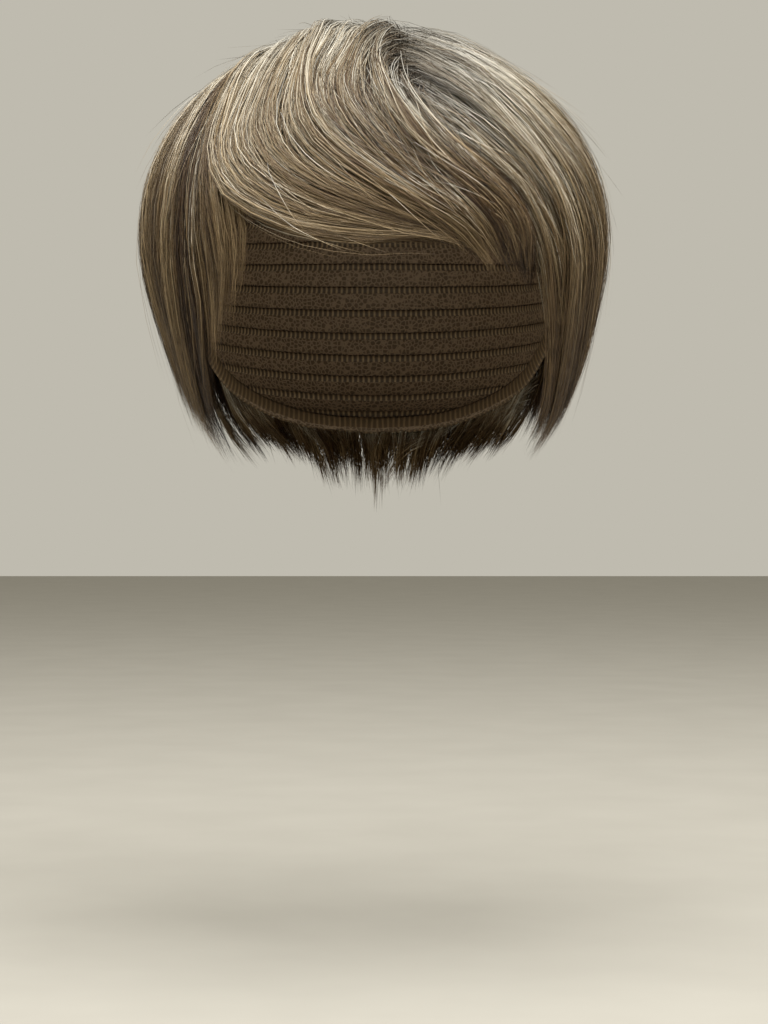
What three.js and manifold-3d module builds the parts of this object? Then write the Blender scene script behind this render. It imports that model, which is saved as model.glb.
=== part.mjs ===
// Short layered wig with a swept fringe on a basic stretch cap, in millimetres, +Z up.
// The face side looks along -Y and the wearer's left is +X. The origin is where the crown
// of the head meets the inside of the cap. Angles are in degrees: azimuth 0 is the middle of
// the forehead and 90 the wearer's left ear, and polar runs down from straight above the head.
import * as THREE from "three";
import Module from "manifold-3d";
import { mergeVertices } from "three/addons/utils/BufferGeometryUtils.js";

const wasm = await Module();
wasm.setup();

// Driving sizes
const HEAD_MIDDLE_DROP = 95; // from the crown of the head down to the point all radii start at
const CAP_WALL = 1.6; // stretch net with its sewn rows of weft
const CAP_COLUMNS = 40;
const CAP_ROWS = 8;
const PARTING_DIP = 3.5; // how far the hair lies down at its roots beside the parting
const PARTING_DIP_REACH = 0.14; // share of the way to the tips
const OVERLAY_REACH = 30; // degrees over which an upper layer lifts clear of the layer below
const UNDERLAY_REACH = 10; // degrees over which the lower layer then takes the whole depth

// Backing of a hair section, in shares of the way to the tips and of the hair's depth
const BACKING = { columns: 9, rows: 8, end: 0.84, depth: 0.84, thinsFrom: 0.5, edgeDepth: 0.3 };

// Locks on the backing, in shares of a lock's spacing, its length and the hair's depth
const LOCK = {
  steps: 7,
  width: 1.12,
  stray: 0.3,
  rootInset: 0.02,
  tipScatter: 0.05,
  rootWidth: 0.8,
  fullWidthAt: 0.35,
  narrowsFrom: 0.62,
  tipWidth: 0.06,
  foot: 0.26,
  sinksFrom: 0.4,
  tipFoot: 0.06,
  lowersFrom: 0.6,
  tipHeight: 0.6,
};

// Cross-section of a lock, from one foot over its top to the other
const LOCK_SECTION = [
  { across: 1, height: 0 },
  { across: 0.45, height: 1 },
  { across: -0.45, height: 0.9 },
  { across: -1, height: 0 },
];

// Radii of the head that the cap is shaped on, a row for each polar angle
const HEAD_FORM = [
  { polar: 0, front: 95, side: 95, back: 95 },
  { polar: 30, front: 95, side: 90, back: 97 },
  { polar: 60, front: 95, side: 80, back: 100 },
  { polar: 90, front: 95, side: 75, back: 98 },
  { polar: 105, front: 95, side: 75, back: 93 },
  { polar: 120, front: 95, side: 76, back: 84 },
  { polar: 130, front: 95, side: 76, back: 80 },
  { polar: 142, front: 95, side: 76, back: 89 },
];

// Radii of the outside of the hair, from the same point
const HAIR_FORM = [
  { polar: 0, front: 120, side: 120, back: 120 },
  { polar: 15, front: 120, side: 119.5, back: 121.5 },
  { polar: 30, front: 120, side: 115, back: 124 },
  { polar: 45, front: 120, side: 112, back: 127 },
  { polar: 60, front: 119, side: 107.5, back: 129 },
  { polar: 75, front: 111, side: 99.5, back: 126 },
  { polar: 90, front: 103, side: 91, back: 119 },
  { polar: 105, front: 101, side: 88, back: 110 },
  { polar: 120, front: 101, side: 91, back: 99 },
  { polar: 130, front: 101, side: 91, back: 93 },
  { polar: 142, front: 101, side: 90, back: 100 },
];

// Edge of the cap, from the forehead round one ear to the nape
const CAP_EDGE = [
  { azimuth: 0, polar: 60 },
  { azimuth: 35, polar: 64 },
  { azimuth: 56, polar: 80 },
  { azimuth: 74, polar: 103 },
  { azimuth: 96, polar: 90 },
  { azimuth: 128, polar: 110 },
  { azimuth: 155, polar: 119 },
  { azimuth: 180, polar: 121 },
];

// Hair sections. seatGap is from the cap to the corners of the facets over it, whose middles come
// closer, and relief is how far one lock may stand above the next. A guide is one line of combed hair.
// Its root lies beside the parting, in degrees to the left of and behind the top of the head. Then
// come three places that it passes and its tip, each as azimuth and polar. The back hair lies over
// the nape hair and leaves it a share of the depth.
const SECTIONS = [
  {
    name: "fringe",
    seatGap: 0.7,
    locks: 9,
    relief: 3,
    guides: [
      { root: [4.2, -14], upper: [-29, 43], middle: [-33, 61], lower: [-24, 73], tip: [-5, 79] },
      { root: [4.2, -22], upper: [-19, 44], middle: [-23, 61], lower: [-11, 73], tip: [9, 78] },
      { root: [4.2, -30], upper: [-10, 45], middle: [-12, 60], lower: [0, 72], tip: [19, 80] },
      { root: [4.2, -37], upper: [-2, 47], middle: [-2, 60], lower: [12, 72], tip: [32, 83] },
      { root: [4.2, -44], upper: [5, 52], middle: [13, 62], lower: [27, 73], tip: [40, 84] },
    ],
  },
  {
    name: "side_hair_left",
    seatGap: 1.4,
    locks: 10,
    relief: 3,
    guides: [
      { root: [5.8, -43], upper: [13, 51], middle: [33, 64], lower: [50, 87], tip: [69, 127] },
      { root: [5.8, -30], upper: [37, 42], middle: [54, 63], lower: [66, 90], tip: [79, 129] },
      { root: [5.8, -8], upper: [78, 36], middle: [84, 60], lower: [87, 89], tip: [90, 129] },
      { root: [6.6, 20], upper: [119, 41], middle: [120, 62], lower: [120, 90], tip: [114, 129] },
    ],
  },
  {
    name: "side_hair_right",
    seatGap: 1.8,
    locks: 10,
    relief: 3,
    guides: [
      { root: [3.4, 20], upper: [-119, 41], middle: [-120, 62], lower: [-120, 90], tip: [-114, 129] },
      { root: [4.2, 4], upper: [-83, 36], middle: [-86, 60], lower: [-87, 89], tip: [-88, 129] },
      { root: [4.2, -6], upper: [-51, 42], middle: [-55, 62], lower: [-57, 87], tip: [-67, 128] },
      { root: [4.2, -12], upper: [-32, 44], middle: [-37, 62], lower: [-36, 76], tip: [-39, 94] },
    ],
  },
  {
    name: "back_hair",
    seatGap: 1.1,
    locks: 10,
    relief: 3,
    liesOver: { from: 80, share: 0.56 },
    guides: [
      { root: [8, 22], upper: [123, 43], middle: [123, 64], lower: [123, 88], tip: [122, 113] },
      { root: [7, 24], upper: [152, 45], middle: [151, 67], lower: [150, 90], tip: [149, 115] },
      { root: [5, 25], upper: [181, 46], middle: [180, 68], lower: [179, 90], tip: [179, 116] },
      { root: [3, 24], upper: [209, 45], middle: [209, 67], lower: [209, 90], tip: [209, 115] },
      { root: [2, 22], upper: [237, 43], middle: [237, 64], lower: [237, 88], tip: [238, 113] },
    ],
  },
  {
    name: "nape_hair",
    seatGap: 1.1,
    locks: 8,
    relief: 2.4,
    startsAt: 0.62,
    liesUnder: { until: 120, share: 0.36 },
    guides: [
      { root: [8, 22], upper: [127, 62], middle: [127, 84], lower: [130, 108], tip: [137, 132] },
      { root: [7, 24], upper: [154, 62], middle: [154, 86], lower: [156, 114], tip: [160, 139] },
      { root: [5, 25], upper: [180, 62], middle: [180, 86], lower: [180, 116], tip: [180, 140] },
      { root: [3, 24], upper: [206, 62], middle: [206, 86], lower: [204, 114], tip: [200, 139] },
      { root: [2, 22], upper: [233, 62], middle: [233, 84], lower: [230, 108], tip: [223, 132] },
    ],
  },
];

const radians = THREE.MathUtils.degToRad;
const mix = THREE.MathUtils.lerp;
const ease = THREE.MathUtils.smoothstep;

// A number from 0 to 1 that looks random and is the same each time
function scatter(index, salt) {
  const value = Math.sin(index * 12.9898 + salt * 78.233) * 43758.5453;
  return value - Math.floor(value);
}

// A column of a table at x, on a smooth curve through its rows
function readTable(table, key, column, x) {
  const last = table.length - 1;
  let row = 0;
  while (row < last - 1 && x > table[row + 1][key]) row += 1;
  const at = (index) => table[Math.min(Math.max(index, 0), last)];
  const slope = (index) => {
    const before = at(index - 1);
    const after = at(index + 1);
    return (after[column] - before[column]) / (after[key] - before[key]);
  };
  const span = at(row + 1)[key] - at(row)[key];
  const t = THREE.MathUtils.clamp((x - at(row)[key]) / span, 0, 1);
  const rise = at(row + 1)[column] - at(row)[column];
  const start = slope(row) * span;
  const end = slope(row + 1) * span;
  return at(row)[column] + t * (start + t * (3 * rise - 2 * start - end + t * (start + end - 2 * rise)));
}

// Radius of a form in one direction: an ellipse round the head between front, side and back
function radiusOf(form, azimuth, polar) {
  const forward = Math.cos(radians(azimuth));
  const sideways = Math.sin(radians(azimuth));
  const lengthwise = readTable(form, "polar", forward > 0 ? "front" : "back", polar);
  const across = readTable(form, "polar", "side", polar);
  return 1 / Math.hypot(forward / lengthwise, sideways / across);
}

// The point at a radius from the middle of the head
function pointAt(azimuth, polar, radius) {
  const level = radius * Math.sin(radians(polar));
  return new THREE.Vector3(
    level * Math.sin(radians(azimuth)),
    -level * Math.cos(radians(azimuth)),
    radius * Math.cos(radians(polar)) - HEAD_MIDDLE_DROP,
  );
}

// The crown map lays the head out flat: the distance from its middle is the polar angle
function toCrownMap([azimuth, polar]) {
  return new THREE.Vector2(polar * Math.sin(radians(azimuth)), -polar * Math.cos(radians(azimuth)));
}

function fromCrownMap(place) {
  return {
    azimuth: THREE.MathUtils.radToDeg(Math.atan2(place.x, -place.y)),
    polar: place.length(),
  };
}

function guidePlaces(guide) {
  const passed = [guide.upper, guide.middle, guide.lower, guide.tip];
  return [new THREE.Vector2(...guide.root), ...passed.map(toCrownMap)];
}

// The line of combed hair at a place across the section, from 0 at its first guide to 1 at its last
function combedLine(section, across) {
  const guides = section.guides;
  const position = across * (guides.length - 1);
  const first = Math.min(Math.floor(position), guides.length - 2);
  const before = guidePlaces(guides[first]);
  const after = guidePlaces(guides[first + 1]);
  return new THREE.SplineCurve(before.map((place, i) => place.clone().lerp(after[i], position - first)));
}

// The hair's inner and outer radius at a place, after the layers over or under it take their room
function hairLayer(section, along, { azimuth, polar }) {
  let inner = radiusOf(HEAD_FORM, azimuth, polar) + CAP_WALL + section.seatGap;
  const dip = PARTING_DIP * (1 - ease(along, 0, PARTING_DIP_REACH));
  let outer = radiusOf(HAIR_FORM, azimuth, polar) - dip;
  const depth = outer - inner;
  if (section.liesOver) {
    const { from, share } = section.liesOver;
    inner += depth * share * ease(polar, from - OVERLAY_REACH, from);
  }
  if (section.liesUnder) {
    const { until, share } = section.liesUnder;
    outer -= depth * (1 - share) * (1 - ease(polar, until, until + UNDERLAY_REACH));
  }
  return { inner, outer };
}

// A closed surface from rings of points, each ring joined to the next. A ring runs out along one
// face and back along the other, so both ends are closed by a strip from face to face.
function closeRings(rings) {
  const size = rings[0].length;
  const positions = rings.flat().flatMap((p) => [p.x, p.y, p.z]);
  const index = [];
  for (let r = 0; r < rings.length - 1; r += 1) {
    for (let k = 0; k < size; k += 1) {
      const next = (k + 1) % size;
      const a = r * size + k;
      const b = r * size + next;
      index.push(a, b, b + size, a, b + size, a + size);
    }
  }
  const end = (rings.length - 1) * size;
  for (let k = 0; k < size / 2 - 1; k += 1) {
    const across = size - 1 - k;
    index.push(k, across, across - 1, k, across - 1, k + 1);
    index.push(end + k, end + k + 1, end + across - 1, end + k, end + across - 1, end + across);
  }
  const geometry = new THREE.BufferGeometry();
  geometry.setAttribute("position", new THREE.Float32BufferAttribute(positions, 3));
  return geometry.setIndex(index);
}

const SAME_POINT = 1e-4; // points closer than this are one corner

function toSolid(geometry) {
  const merged = mergeVertices(geometry, SAME_POINT);
  const mesh = new wasm.Mesh({
    numProp: 3,
    vertProperties: merged.attributes.position.array,
    triVerts: new Uint32Array(merged.index.array),
  });
  return new wasm.Manifold(mesh);
}

function toGeometry(solid) {
  const mesh = solid.getMesh();
  const geometry = new THREE.BufferGeometry();
  geometry.setAttribute("position", new THREE.BufferAttribute(new Float32Array(mesh.vertProperties), 3));
  geometry.setIndex(new THREE.BufferAttribute(new Uint32Array(mesh.triVerts), 1));
  geometry.computeVertexNormals();
  return geometry;
}

// The cap: one wall from the crown down to its shaped edge, open below
function capGeometry() {
  const edgeAt = (azimuth) => readTable(CAP_EDGE, "azimuth", "polar", Math.abs(azimuth));
  const column = (azimuth) => {
    const outer = [];
    const inner = [];
    for (let row = 1; row <= CAP_ROWS; row += 1) {
      const polar = (edgeAt(azimuth) * row) / CAP_ROWS;
      const radius = radiusOf(HEAD_FORM, azimuth, polar);
      outer.push(pointAt(azimuth, polar, radius + CAP_WALL));
      inner.push(pointAt(azimuth, polar, radius));
    }
    return [...outer, ...inner.reverse()];
  };
  const crown = HEAD_FORM[0].side;
  const points = [pointAt(0, 0, crown + CAP_WALL), pointAt(0, 0, crown)];
  const size = 2 * CAP_ROWS;
  const index = [];
  for (let c = 0; c < CAP_COLUMNS; c += 1) {
    points.push(...column((360 * c) / CAP_COLUMNS - 180));
    const here = 2 + c * size;
    const next = 2 + ((c + 1) % CAP_COLUMNS) * size;
    index.push(0, here, next, 1, next + size - 1, here + size - 1);
    for (let k = 0; k < size - 1; k += 1) {
      index.push(here + k, here + k + 1, next + k + 1, here + k, next + k + 1, next + k);
    }
  }
  const geometry = new THREE.BufferGeometry();
  const positions = points.flatMap((p) => [p.x, p.y, p.z]);
  geometry.setAttribute("position", new THREE.Float32BufferAttribute(positions, 3));
  geometry.setIndex(index);
  geometry.computeVertexNormals();
  return geometry;
}

// The hair's body next to the cap: a curved slab that thins towards its lower edge
function backingSolid(section) {
  const start = section.startsAt ?? 0;
  const rings = [];
  for (let column = 0; column <= BACKING.columns; column += 1) {
    const line = combedLine(section, column / BACKING.columns);
    const outer = [];
    const inner = [];
    for (let row = 0; row <= BACKING.rows; row += 1) {
      const along = mix(start, BACKING.end, row / BACKING.rows);
      const place = fromCrownMap(line.getPointAt(along));
      const layer = hairLayer(section, along, place);
      const thinning = mix(1, BACKING.edgeDepth, ease(along, BACKING.thinsFrom, BACKING.end));
      const face = mix(layer.inner, layer.outer, BACKING.depth * thinning);
      inner.push(pointAt(place.azimuth, place.polar, layer.inner));
      outer.push(pointAt(place.azimuth, place.polar, face));
    }
    rings.push([...outer, ...inner.reverse()]);
  }
  return toSolid(closeRings(rings));
}

// One lock: a tapered strip along its combed line, sunk in the backing and free at its tip
function lockSolid(section, number) {
  const across = (number + 0.5 + LOCK.stray * (scatter(number, 1) - 0.5)) / section.locks;
  const halfWidth = LOCK.width / section.locks / 2;
  const line = combedLine(section, across);
  const rightLine = combedLine(section, Math.max(across - halfWidth, 0));
  const leftLine = combedLine(section, Math.min(across + halfWidth, 1));
  const start = (section.startsAt ?? 0) + LOCK.rootInset;
  const end = 1 - LOCK.tipScatter * scatter(number, 2);
  const proud = section.relief * (scatter(number, 3) - 0.5);
  const rings = [];
  for (let step = 0; step <= LOCK.steps; step += 1) {
    const t = step / LOCK.steps;
    const along = mix(start, end, t);
    const middle = line.getPointAt(along);
    const opening = mix(LOCK.rootWidth, 1, ease(t, 0, LOCK.fullWidthAt));
    const taper = Math.max(LOCK.tipWidth, opening * (1 - ease(t, LOCK.narrowsFrom, 1)));
    const left = leftLine.getPointAt(along).sub(middle).multiplyScalar(taper);
    const right = rightLine.getPointAt(along).sub(middle).multiplyScalar(taper);
    const footShare = mix(LOCK.foot, LOCK.tipFoot, ease(along, LOCK.sinksFrom, BACKING.end));
    const topShare = mix(1, LOCK.tipHeight, ease(t, LOCK.lowersFrom, 1));
    const crest = proud * (1 - ease(t, LOCK.lowersFrom, 1));
    const corners = LOCK_SECTION.map((corner) => {
      const aside = corner.across > 0 ? left : right;
      const place = fromCrownMap(middle.clone().addScaledVector(aside, Math.abs(corner.across)));
      const layer = hairLayer(section, along, place);
      const foot = mix(layer.inner, layer.outer, footShare);
      const top = mix(layer.inner, layer.outer, topShare) + crest;
      return pointAt(place.azimuth, place.polar, mix(foot, top, corner.height));
    });
    rings.push(corners);
  }
  return toSolid(closeRings(rings));
}

// A hair section: its locks fused to its backing
function hairGeometry(section) {
  let solid = backingSolid(section);
  for (let number = 0; number < section.locks; number += 1) {
    solid = solid.add(lockSolid(section, number));
  }
  return toGeometry(solid);
}

const capNet = new THREE.MeshStandardMaterial({ color: "#6f6150", roughness: 0.95, metalness: 0 });
const hairFibre = new THREE.MeshStandardMaterial({ color: "#8f8064", roughness: 0.5, metalness: 0 });

function namedMesh(name, geometry, material) {
  const mesh = new THREE.Mesh(geometry, material);
  mesh.name = name;
  return mesh;
}

const wig = new THREE.Group();
wig.add(namedMesh("cap", capGeometry(), capNet));
for (const section of SECTIONS) {
  wig.add(namedMesh(section.name, hairGeometry(section), hairFibre));
}

export default wig;
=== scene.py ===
# %% [markdown]
# # A short cap wig, fibre by fibre
# The frame holds the wig as plain solids: a thin cap, and five sections of hair that are each a
# backing with tapered locks. On the real wig a section is thousands of fine fibres sewn to a net
# cap, so here fibres of real length take the place of the solids, combed into the space they hold.

# %% Load the frame
import math

import bpy
import numpy as np
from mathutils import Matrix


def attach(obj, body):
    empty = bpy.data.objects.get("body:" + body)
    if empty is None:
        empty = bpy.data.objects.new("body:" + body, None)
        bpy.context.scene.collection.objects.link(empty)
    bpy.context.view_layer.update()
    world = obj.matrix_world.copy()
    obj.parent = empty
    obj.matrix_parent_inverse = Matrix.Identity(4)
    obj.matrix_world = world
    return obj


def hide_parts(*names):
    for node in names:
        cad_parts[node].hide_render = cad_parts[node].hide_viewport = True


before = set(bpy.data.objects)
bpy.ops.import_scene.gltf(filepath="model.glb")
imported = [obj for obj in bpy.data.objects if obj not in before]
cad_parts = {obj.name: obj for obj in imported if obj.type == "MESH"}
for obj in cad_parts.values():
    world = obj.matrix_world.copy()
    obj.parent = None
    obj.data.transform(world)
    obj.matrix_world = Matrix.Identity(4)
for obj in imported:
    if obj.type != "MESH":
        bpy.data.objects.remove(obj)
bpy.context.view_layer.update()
MM = 0.001

# %% [markdown]
# The camera stands level with the lower edge of the hair, a metre in front of the wig. Blender gives
# a camera's view as a focal length on a 36 mm wide sensor. For an upright picture that width belongs
# to the long side, so the lens follows from the focal length in pixels.

# %% Camera
PICTURE_LONG_SIDE = 1024
FOCAL_PIXELS = 2439
CAMERA_PLACE = (0.0037, -1.0, -0.174)
LEVEL = math.radians(90)

scene = bpy.context.scene
camera = bpy.data.objects.new("camera", bpy.data.cameras.new("camera"))
camera.data.lens = camera.data.sensor_width * FOCAL_PIXELS / PICTURE_LONG_SIDE
camera.location = CAMERA_PLACE
camera.rotation_euler = (LEVEL, 0, 0)
scene.collection.objects.link(camera)
scene.camera = camera
print("lens in mm:", round(camera.data.lens, 1))

# %% [markdown]
# Every colour below is written as it looks on a screen, in sRGB hex. Shaders count in linear light,
# so one function turns one into the other. A second small function adds a shader node with its
# settings and the links that feed it, which keeps each material readable from top to bottom.

# %% Colour and node helpers
def linear(hex_colour):
    """A linear RGBA colour from an sRGB hex value such as "#8f8064"."""
    shares = [int(hex_colour[i:i + 2], 16) / 255 for i in (1, 3, 5)]
    return [s / 12.92 if s <= 0.04045 else ((s + 0.055) / 1.055) ** 2.4 for s in shares] + [1.0]


def add_node(tree, kind, settings=None, links=None):
    """Adds a node, sets its properties or input values, and links its inputs to other sockets.
    The setting "ramp" gives a colour ramp's stops as (position, hex colour) pairs."""
    node = tree.nodes.new(kind)
    for name, value in (settings or {}).items():
        if name == "ramp":
            while len(node.color_ramp.elements) < len(value):
                node.color_ramp.elements.new(0.5)
            for element, (position, colour) in zip(node.color_ramp.elements, value):
                element.position = position
                element.color = linear(colour)
        elif isinstance(name, int) or name in node.inputs:
            node.inputs[name].default_value = value
        else:
            setattr(node, name, value)
    for name, socket in (links or {}).items():
        tree.links.new(socket, node.inputs[name])
    return node


def new_material(name):
    """A material with an empty node tree, and that tree."""
    material = bpy.data.materials.new(name)
    material.use_nodes = True
    material.node_tree.nodes.clear()
    return material, material.node_tree


def finish_material(tree, settings, links):
    """Ends a material in one surface shader."""
    shader = add_node(tree, "ShaderNodeBsdfPrincipled", settings, links)
    add_node(tree, "ShaderNodeOutputMaterial", links={"Surface": shader.outputs["BSDF"]})


print("mid grey in linear light:", round(linear("#808080")[0], 3))

# %% [markdown]
# Below the wig lies a plain pale floor, such as a studio has: board with a rolled coat of matt paint.
# One large face is enough for it. Only the paint's soft clouds of tone are drawn, because its grain is
# too fine to show. With nothing linked to its vector, a pattern runs from 0 to 1 over the whole floor,
# so its scale is the number of clouds across.

# %% Floor
FLOOR_HEIGHT = -0.358
FLOOR_HALF = 6.0
PAINT_CLOUD = 75 * MM  # coarser than a real roller leaves them, so that they show

# Matt paint scatters light evenly: the eye sees no gloss, only a slight change of tone
board, tree = new_material("matt_painted_board")
clouds = add_node(tree, "ShaderNodeTexNoise", {"Scale": 2 * FLOOR_HALF / PAINT_CLOUD, "Detail": 3.0})
tint = add_node(tree, "ShaderNodeValToRGB", {"ramp": [(0, "#9b978d"), (1, "#a5a197")]},
                {"Fac": clouds.outputs["Fac"]})
finish_material(tree, {"Roughness": 0.9}, {"Base Color": tint.outputs["Color"]})

floor_mesh = bpy.data.meshes.new("floor")
corners = FLOOR_HALF * np.array([(-1, -1), (1, -1), (1, 1), (-1, 1)])
floor_mesh.from_pydata([(x, y, FLOOR_HEIGHT) for x, y in corners], [], [(0, 1, 2, 3)])
floor_mesh.materials.append(board)
floor = bpy.data.objects.new("floor", floor_mesh)
scene.collection.objects.link(floor)
print("paint clouds across the floor:", round(2 * FLOOR_HALF / PAINT_CLOUD))

# %% [markdown]
# A pale surround gives soft light from all sides. A broad lamp in front and above adds the main light,
# and a small one lifts the wearer's left. A large lamp gives hair its broad band of sheen, where a
# small one alone would glitter.

# %% Surround and lamps
LAMPS = [
    {"name": "overhead", "place": (0.1, -1.0, 1.8), "size": 2.4, "watts": 126},
    {"name": "front", "place": (0.8, -0.9, 1.1), "size": 0.9, "watts": 5},
]
LAMP_AIM = np.array((0.0, 0.0, -0.06))  # at the height of the fringe

scene.view_settings.view_transform = "Standard"  # colours come out as they are written

world = bpy.data.worlds.new("pale_surround")
world.use_nodes = True
world.node_tree.nodes["Background"].inputs["Color"].default_value = linear("#bfbbaf")
world.node_tree.nodes["Background"].inputs["Strength"].default_value = 1.0
scene.world = world

for row in LAMPS:
    lamp = bpy.data.objects.new(row["name"], bpy.data.lights.new(row["name"], "AREA"))
    lamp.data.energy = row["watts"]
    lamp.data.size = row["size"]
    lamp.location = row["place"]
    away = np.array(row["place"]) - LAMP_AIM
    lamp.rotation_euler = (math.atan2(math.hypot(away[0], away[1]), away[2]), 0,
                           math.atan2(away[0], -away[1]))
    scene.collection.objects.link(lamp)
print("lamps:", [row["name"] for row in LAMPS])

# %% [markdown]
# The cap is round, so places on it are given as on a globe: azimuth 0 is the middle of the front and
# 90 the wearer's left, and polar runs down from straight above. Two short tables give the inside of the
# cap and the outside of the combed hair, as radii from the globe's middle. A smooth curve between their
# rows keeps both free of corners, and it is a helper that the guides of the hair need as well.

# %% Smooth curves
def smooth_curve(places, values):
    """A function that runs on a smooth curve through values given at some places."""
    places, values = np.array(places, float), np.array(values, float)
    slope = np.gradient(values, places)

    def at(x):
        k = np.clip(np.searchsorted(places, x) - 1, 0, len(places) - 2)
        span = places[k + 1] - places[k]
        t = np.clip((x - places[k]) / span, 0, 1)
        rise = values[k + 1] - values[k]
        start, end = slope[k] * span, slope[k + 1] * span
        return values[k] + t * (start + t * (3 * rise - 2 * start - end + t * (start + end - 2 * rise)))

    return at


print("a curve through 0, 1 and 4, past its middle:", float(smooth_curve((0, 1, 2), (0, 1, 4))(1.5)))

# %% The inside of the cap and the outside of the hair
CAP_MIDDLE = np.array((0.0, 0.0, -95 * MM))
CAP_WALL = 1.6 * MM
CAP_FORM = [  # polar in degrees, then the radius in mm at the front, the side and the back
    (0, 95, 95, 95), (30, 95, 90, 97), (60, 95, 80, 100), (90, 95, 75, 98), (105, 95, 75, 93),
    (120, 95, 76, 84), (130, 95, 76, 80), (142, 95, 76, 89),
]
HAIR_FORM = [
    (0, 120, 120, 120), (15, 120, 119.5, 121.5), (30, 120, 115, 124), (45, 120, 112, 127),
    (60, 119, 106.5, 129), (75, 111, 98, 126), (90, 103, 89, 119), (105, 101, 86, 110),
    (120, 101, 89, 99), (130, 101, 90, 93), (142, 101, 90, 100),
]


def form_radius(form):
    """A function of azimuth and polar: an ellipse round the cap between front, side and back."""
    polar, *columns = np.array(form, float).T
    front, side, back = (smooth_curve(polar, column * MM) for column in columns)

    def at(azimuth, polar):
        forward, sideways = np.cos(np.radians(azimuth)), np.sin(np.radians(azimuth))
        lengthwise = np.where(forward > 0, front(polar), back(polar))
        return 1 / np.hypot(forward / lengthwise, sideways / side(polar))

    return at


def place_at(azimuth, polar, radius):
    """Points at a radius from the globe's middle."""
    a, p = np.radians(azimuth), np.radians(polar)
    way = np.stack([np.sin(p) * np.sin(a), -np.sin(p) * np.cos(a), np.cos(p)], axis=-1)
    return CAP_MIDDLE + np.asarray(radius)[..., None] * way


cap_radius = form_radius(CAP_FORM)
hair_radius = form_radius(HAIR_FORM)
print("hair depth over the ear in mm:", round(float(hair_radius(90, 70) - cap_radius(90, 70)) / MM, 1))

# %% [markdown]
# Combed hair follows a few guide lines, as a stylist parts it into sections. Each guide starts beside
# the parting or at the whorl behind it, passes a few places and ends at a tip. The crown map lays the
# cap out flat, with the polar angle as the distance from its middle, so that a line can pass over the
# top without a jump. Curves drawn by hand in Blender would do too, but whole degrees are easier to
# compare from one guide to the next.

# %% Guides of the hair sections
GUIDES = {  # the root on the crown map, then azimuth and polar of the places down to the tip
    "fringe": [
        ((2, 20), (-95, 20), (-55, 34), (-43, 48), (-38, 60), (-29, 70), (-15, 76), (-1, 78), (12, 77)),
        ((2.5, 18), (-88, 15), (-45, 30), (-36, 46), (-33, 60), (-25, 69), (-12, 75), (2, 77), (14, 77)),
        ((3, 14), (-85, 9), (-27, 26), (-20, 41), (-15, 56), (-7, 64), (4, 70), (14, 74), (22, 79)),
        ((3.5, 4), (-12, 19), (-11, 34), (-13, 47), (-9, 57), (0, 65), (11, 71), (21, 76), (27, 82)),
        ((4, -12), (0, 28), (-4, 42), (-3, 54), (6, 63), (16, 70), (25, 76), (32, 84)),
        ((4.4, -34), (2, 45), (5, 53), (11, 60), (20, 67), (30, 74), (37, 85)),
        ((4.8, -45), (10, 51), (18, 58), (27, 65), (36, 73), (42, 87)),
    ],
    "side_hair_left": [
        ((5.8, -45), (15, 51), (25, 59), (36, 66), (44, 77), (49, 90), (55, 108), (63, 126)),
        ((5.8, -32), (20, 43), (31, 54), (44, 64), (54, 78), (61, 94), (67, 110), (73, 125)),
        ((5.9, -20), (36, 36), (53, 50), (66, 62), (76, 78), (81, 96), (85, 121)),
        ((6.0, 0), (80, 34), (92, 58), (96, 86), (97, 119)),
        ((6.6, 20), (119, 41), (121, 62), (121, 90), (119, 121)),
    ],
    "side_hair_right": [
        ((3.4, 20), (-119, 41), (-121, 62), (-121, 90), (-119, 121)),
        ((3, 21), (-100, 28), (-92, 50), (-90, 70), (-90, 90), (-90, 119)),
        ((2.5, 20), (-92, 24), (-68, 42), (-66, 62), (-68, 87), (-72, 124)),
        ((2.3, 20), (-92, 22), (-58, 38), (-50, 56), (-52, 76), (-57, 100), (-62, 126)),
        ((2, 20), (-94, 20), (-52, 34), (-40, 50), (-34, 66), (-31, 80), (-36, 93)),
    ],
    "back_hair": [
        ((8, 22), (123, 43), (123, 64), (123, 88), (122, 113)),
        ((7, 24), (152, 45), (151, 67), (150, 90), (149, 115)),
        ((5, 25), (181, 46), (180, 68), (179, 90), (179, 116)),
        ((3, 24), (209, 45), (209, 67), (209, 90), (209, 115)),
        ((2, 22), (237, 43), (237, 64), (237, 88), (238, 113)),
    ],
    "nape_hair": [
        ((8, 22), (127, 62), (127, 84), (130, 108), (137, 132)),
        ((7, 24), (154, 62), (154, 86), (156, 114), (160, 139)),
        ((5, 25), (180, 62), (180, 86), (180, 116), (180, 140)),
        ((3, 24), (206, 62), (206, 86), (204, 114), (200, 139)),
        ((2, 22), (233, 62), (233, 84), (230, 108), (223, 132)),
    ],
}
print("guides:", {name: len(guides) for name, guides in GUIDES.items()})

# %% [markdown]
# The guides become lines of evenly spaced places. Any fibre of a section then lies at some share
# across its guides and some share along them, and its place is found between the nearest four. That is
# what a comb does: it keeps neighbours side by side.

# %% Combed lines
LINE_SAMPLES = 41
FINE_SAMPLES = 400


def crown_map(azimuth, polar):
    """Places on the crown map, in degrees to the left of and behind the top of the cap."""
    return np.stack([polar * np.sin(np.radians(azimuth)), -polar * np.cos(np.radians(azimuth))], axis=-1)


def guide_line(guide):
    """One guide as evenly spaced places on the crown map, on a spline through its places."""
    places = np.array([guide[0]] + [crown_map(*place) for place in guide[1:]])
    corners = np.arange(len(places))
    t = np.linspace(0, corners[-1], FINE_SAMPLES)
    fine = np.stack([smooth_curve(corners, places[:, axis])(t) for axis in (0, 1)], axis=-1)
    length = np.append(0, np.cumsum(np.linalg.norm(np.diff(fine, axis=0), axis=1)))
    even = np.linspace(0, length[-1], LINE_SAMPLES)
    return np.stack([np.interp(even, length, fine[:, axis]) for axis in (0, 1)], axis=-1)


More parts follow.
